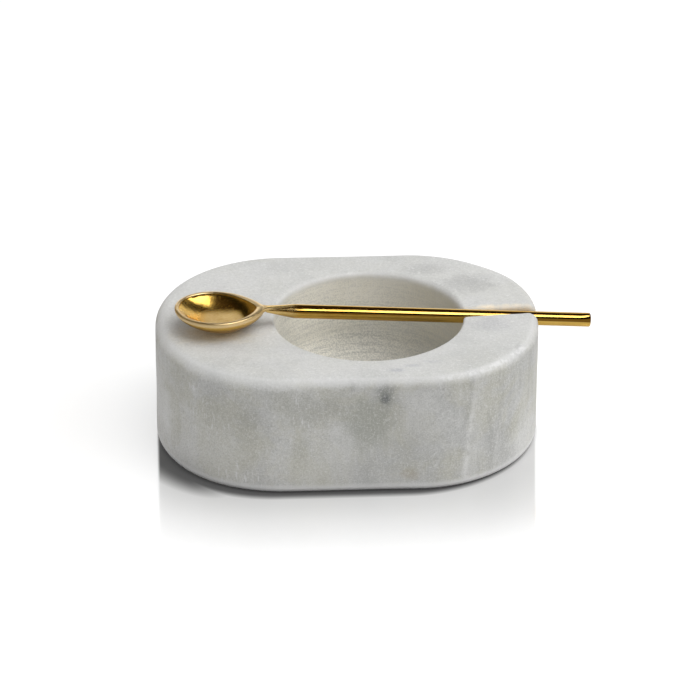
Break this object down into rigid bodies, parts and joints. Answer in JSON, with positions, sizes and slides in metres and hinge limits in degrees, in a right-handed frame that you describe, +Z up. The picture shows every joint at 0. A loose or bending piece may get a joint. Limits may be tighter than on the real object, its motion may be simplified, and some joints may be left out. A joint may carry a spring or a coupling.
{
  "type": "salt cellar",
  "caption": "Oval marble block with a round salt well and a groove that holds the handle of a brass spoon, whose bowl rests on the block's wide end.",
  "frame": {"origin": "middle of the flat face that the marble block stands on", "axes": "+X along the block towards the end that the spoon's handle stands out of, +Y to the back, +Z up"},
  "size_m": [0.1235, 0.0784, 0.0423],
  "materials": {
    "marble": "honed",
    "brass": "brushed",
    "braze": "satin"
  },
  "bodies": {
    "block": {"marble_block": "marble"},
    "spoon": {"spoon_bowl": "brass", "spoon_handle": "brass", "braze_joint": "braze"}
  },
  "joints": [
    {"name": "spoon_lift", "type": "slide", "parent": "block", "child": "spoon", "axis": [0, 0, 1], "range_m": [0, 0.06]}
  ]
}
